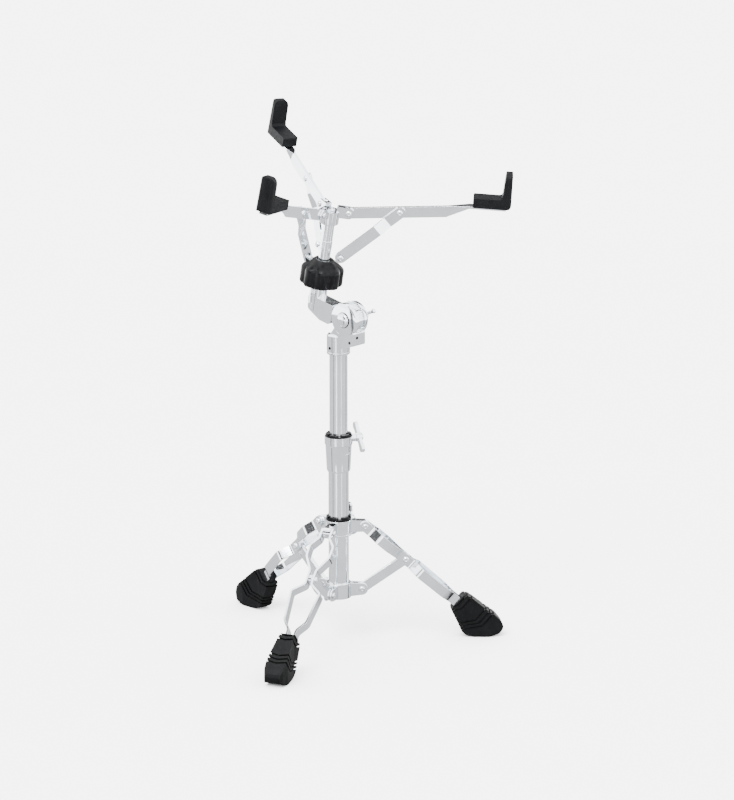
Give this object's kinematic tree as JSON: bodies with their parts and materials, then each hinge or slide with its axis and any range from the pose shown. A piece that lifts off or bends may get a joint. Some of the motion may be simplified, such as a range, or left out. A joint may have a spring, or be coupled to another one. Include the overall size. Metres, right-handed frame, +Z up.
{
  "type": "snare drum stand",
  "caption": "Folding tripod stand with a telescoping tube, a tilter and a three-armed basket whose rubber cradles grip a snare drum.",
  "frame": {"origin": "on the floor, at the middle of the stand's bounding box; the pole axis stands at x -56.2 mm, y -0.0 mm", "axes": "+Z up along the pole, leg 1 and its foot point along +X"},
  "size_m": [0.369, 0.4168, 0.7487],
  "materials": {
    "chrome": "bright chrome plate, lightly polished",
    "bright_steel": "zinc-bright rivets and screws",
    "cradle_rubber": "smooth moulded rubber with a soft sheen",
    "foot_rubber": "matt moulded rubber",
    "nylon": "satin black nylon"
  },
  "bodies": {
    "base": {"base_tube": "chrome", "base_tube_plug": "nylon", "stay_collar": "chrome", "height_clamp": "chrome", "height_clamp_bushing": "nylon"},
    "height_bolt": {"height_wing_bolt": "chrome"},
    "tripod_slider": {"tripod_collar": "chrome", "tripod_collar_bushing": "nylon"},
    "tripod_bolt": {"tripod_wing_bolt": "chrome"},
    "upper_pole": {"upper_tube": "chrome"},
    "tilter_base": {"tilter_clevis": "chrome", "tilter_bolt": "chrome", "tilter_washer": "nylon"},
    "tee_handle": {"tilter_tee_handle": "chrome"},
    "basket_head": {"tilter_elbow": "chrome", "basket_rod": "chrome", "rod_set_screw": "bright_steel", "basket_hub": "chrome", "basket_hub_cap": "bright_steel"},
    "basket_carrier": {"basket_slider": "chrome"},
    "basket_nut": {"basket_knob": "nylon"},
    "leg_1": {"leg_1_strap_left": "chrome", "leg_1_strap_right": "chrome", "leg_1_pivot_rivet": "bright_steel", "leg_1_foot": "foot_rubber"},
    "stay_1": {"stay_1": "chrome", "stay_1_rivet": "bright_steel"},
    "leg_2": {"leg_2_strap_left": "chrome", "leg_2_strap_right": "chrome", "leg_2_pivot_rivet": "bright_steel", "leg_2_foot": "foot_rubber"},
    "stay_2": {"stay_2": "chrome", "stay_2_rivet": "bright_steel"},
    "leg_3": {"leg_3_strap_left": "chrome", "leg_3_strap_right": "chrome", "leg_3_pivot_rivet": "bright_steel", "leg_3_foot": "foot_rubber"},
    "stay_3": {"stay_3": "chrome", "stay_3_rivet": "bright_steel"},
    "arm_1": {"basket_arm_1": "chrome", "basket_arm_1_rivet": "bright_steel", "cradle_1": "cradle_rubber"},
    "brace_1": {"basket_brace_1": "chrome", "basket_brace_1_rivet": "bright_steel"},
    "arm_2": {"basket_arm_2": "chrome", "basket_arm_2_rivet": "bright_steel", "cradle_2": "cradle_rubber"},
    "brace_2": {"basket_brace_2": "chrome", "basket_brace_2_rivet": "bright_steel"},
    "arm_3": {"basket_arm_3": "chrome", "basket_arm_3_rivet": "bright_steel", "cradle_3": "cradle_rubber"},
    "brace_3": {"basket_brace_3": "chrome", "basket_brace_3_rivet": "bright_steel"}
  },
  "joints": [
    {"name": "tripod_slide", "type": "slide", "parent": "base", "child": "tripod_slider", "axis": [0, 0, 1], "range_m": [0, 0.055]},
    {"name": "leg_1_fold", "type": "hinge", "parent": "tripod_slider", "child": "leg_1", "pos_m": [-0.01951, 0, 0.1675], "axis": [0, 1, 0], "range_deg": [0, 36.12]},
    {"name": "stay_1_fold", "type": "hinge", "parent": "base", "child": "stay_1", "pos_m": [-0.02381, 0, 0.075], "axis": [0, -1, 0], "range_deg": [0, 40.46]},
    {"name": "leg_2_fold", "type": "hinge", "parent": "tripod_slider", "child": "leg_2", "pos_m": [-0.07456, 0.03178, 0.1675], "axis": [-0.866, -0.5, 0], "range_deg": [0, 36.12]},
    {"name": "stay_2_fold", "type": "hinge", "parent": "base", "child": "stay_2", "pos_m": [-0.07241, 0.02806, 0.075], "axis": [0.866, 0.5, 0], "range_deg": [0, 40.46]},
    {"name": "leg_3_fold", "type": "hinge", "parent": "tripod_slider", "child": "leg_3", "pos_m": [-0.07456, -0.03178, 0.1675], "axis": [0.866, -0.5, 0], "range_deg": [0, 36.12]},
    {"name": "stay_3_fold", "type": "hinge", "parent": "base", "child": "stay_3", "pos_m": [-0.07241, -0.02806, 0.075], "axis": [-0.866, 0.5, 0], "range_deg": [0, 40.46]},
    {"name": "tripod_bolt_turn", "type": "hinge", "parent": "tripod_slider", "child": "tripod_bolt", "pos_m": [-0.04014, 0.01915, 0.1715], "axis": [0.6428, 0.766, 0], "range_deg": [-38, 45]},
    {"name": "height_bolt_turn", "type": "hinge", "parent": "base", "child": "height_bolt", "pos_m": [-0.03206, 0.00647, 0.2945], "axis": [0.9659, 0.2588, 0], "continuous": true},
    {"name": "height_slide", "type": "slide", "parent": "base", "child": "upper_pole", "axis": [0, 0, 1], "range_m": [-0.088, 0.06]},
    {"name": "tilter_swivel", "type": "hinge", "parent": "upper_pole", "child": "tilter_base", "pos_m": [-0.05621, 0, 0.473], "axis": [0, 0, 1], "continuous": true},
    {"name": "tee_handle_turn", "type": "hinge", "parent": "tilter_base", "child": "tee_handle", "pos_m": [-0.04236, -0.0171, 0.473], "axis": [0.7771, 0.6293, 0], "continuous": true},
    {"name": "basket_tilt", "type": "hinge", "parent": "tilter_base", "child": "basket_head", "pos_m": [-0.04236, -0.0171, 0.473], "axis": [0.7771, 0.6293, 0], "range_deg": [-10, 60]},
    {"name": "basket_slide", "type": "slide", "parent": "basket_head", "child": "basket_carrier", "axis": [0.1158, -0.143, 0.9829], "range_m": [0, 0.022]},
    {"name": "knob_turn", "type": "hinge", "parent": "basket_carrier", "child": "basket_nut", "pos_m": [-0.07577, 0.02417, 0.53177], "axis": [0.1158, -0.143, 0.9829], "continuous": true},
    {"name": "arm_1_lift", "type": "hinge", "parent": "basket_head", "child": "arm_1", "pos_m": [-0.04071, 0.00771, 0.61783], "axis": [-0.1551, -0.9801, -0.1243], "range_deg": [0, 31.36]},
    {"name": "brace_1_lift", "type": "hinge", "parent": "basket_carrier", "child": "brace_1", "pos_m": [-0.05057, 0.0172, 0.55526], "axis": [-0.1551, -0.9801, -0.1243], "range_deg": [0, 11.33]},
    {"name": "arm_2_lift", "type": "hinge", "parent": "basket_head", "child": "arm_2", "pos_m": [-0.07415, 0.0341, 0.6256], "axis": [0.9272, 0.3705, -0.0553], "range_deg": [0, 44.86]},
    {"name": "brace_2_lift", "type": "hinge", "parent": "basket_carrier", "child": "brace_2", "pos_m": [-0.08369, 0.04876, 0.56375], "axis": [0.9272, 0.3705, -0.0553], "range_deg": [0, 17.96]},
    {"name": "arm_3_lift", "type": "hinge", "parent": "basket_head", "child": "arm_3", "pos_m": [-0.08086, -0.00834, 0.62022], "axis": [-0.7721, 0.6096, 0.1796], "range_deg": [0, 44.86]},
    {"name": "brace_3_lift", "type": "hinge", "parent": "basket_carrier", "child": "brace_3", "pos_m": [-0.09202, -0.00387, 0.55707], "axis": [-0.7721, 0.6096, 0.1796], "range_deg": [0, 17.96]}
  ],
  "couplings": [
    {"joint": "leg_1_fold", "follows": "tripod_slide", "rad_per_m": 11.445},
    {"joint": "stay_1_fold", "follows": "tripod_slide", "rad_per_m": 12.821},
    {"joint": "leg_2_fold", "follows": "tripod_slide", "rad_per_m": 11.445},
    {"joint": "stay_2_fold", "follows": "tripod_slide", "rad_per_m": 12.821},
    {"joint": "leg_3_fold", "follows": "tripod_slide", "rad_per_m": 11.445},
    {"joint": "stay_3_fold", "follows": "tripod_slide", "rad_per_m": 12.821},
    {"joint": "arm_1_lift", "follows": "basket_slide", "rad_per_m": 24.834},
    {"joint": "brace_1_lift", "follows": "basket_slide", "rad_per_m": 8.9468},
    {"joint": "arm_2_lift", "follows": "basket_slide", "rad_per_m": 35.545},
    {"joint": "brace_2_lift", "follows": "basket_slide", "rad_per_m": 14.203},
    {"joint": "arm_3_lift", "follows": "basket_slide", "rad_per_m": 35.545},
    {"joint": "brace_3_lift", "follows": "basket_slide", "rad_per_m": 14.203}
  ]
}
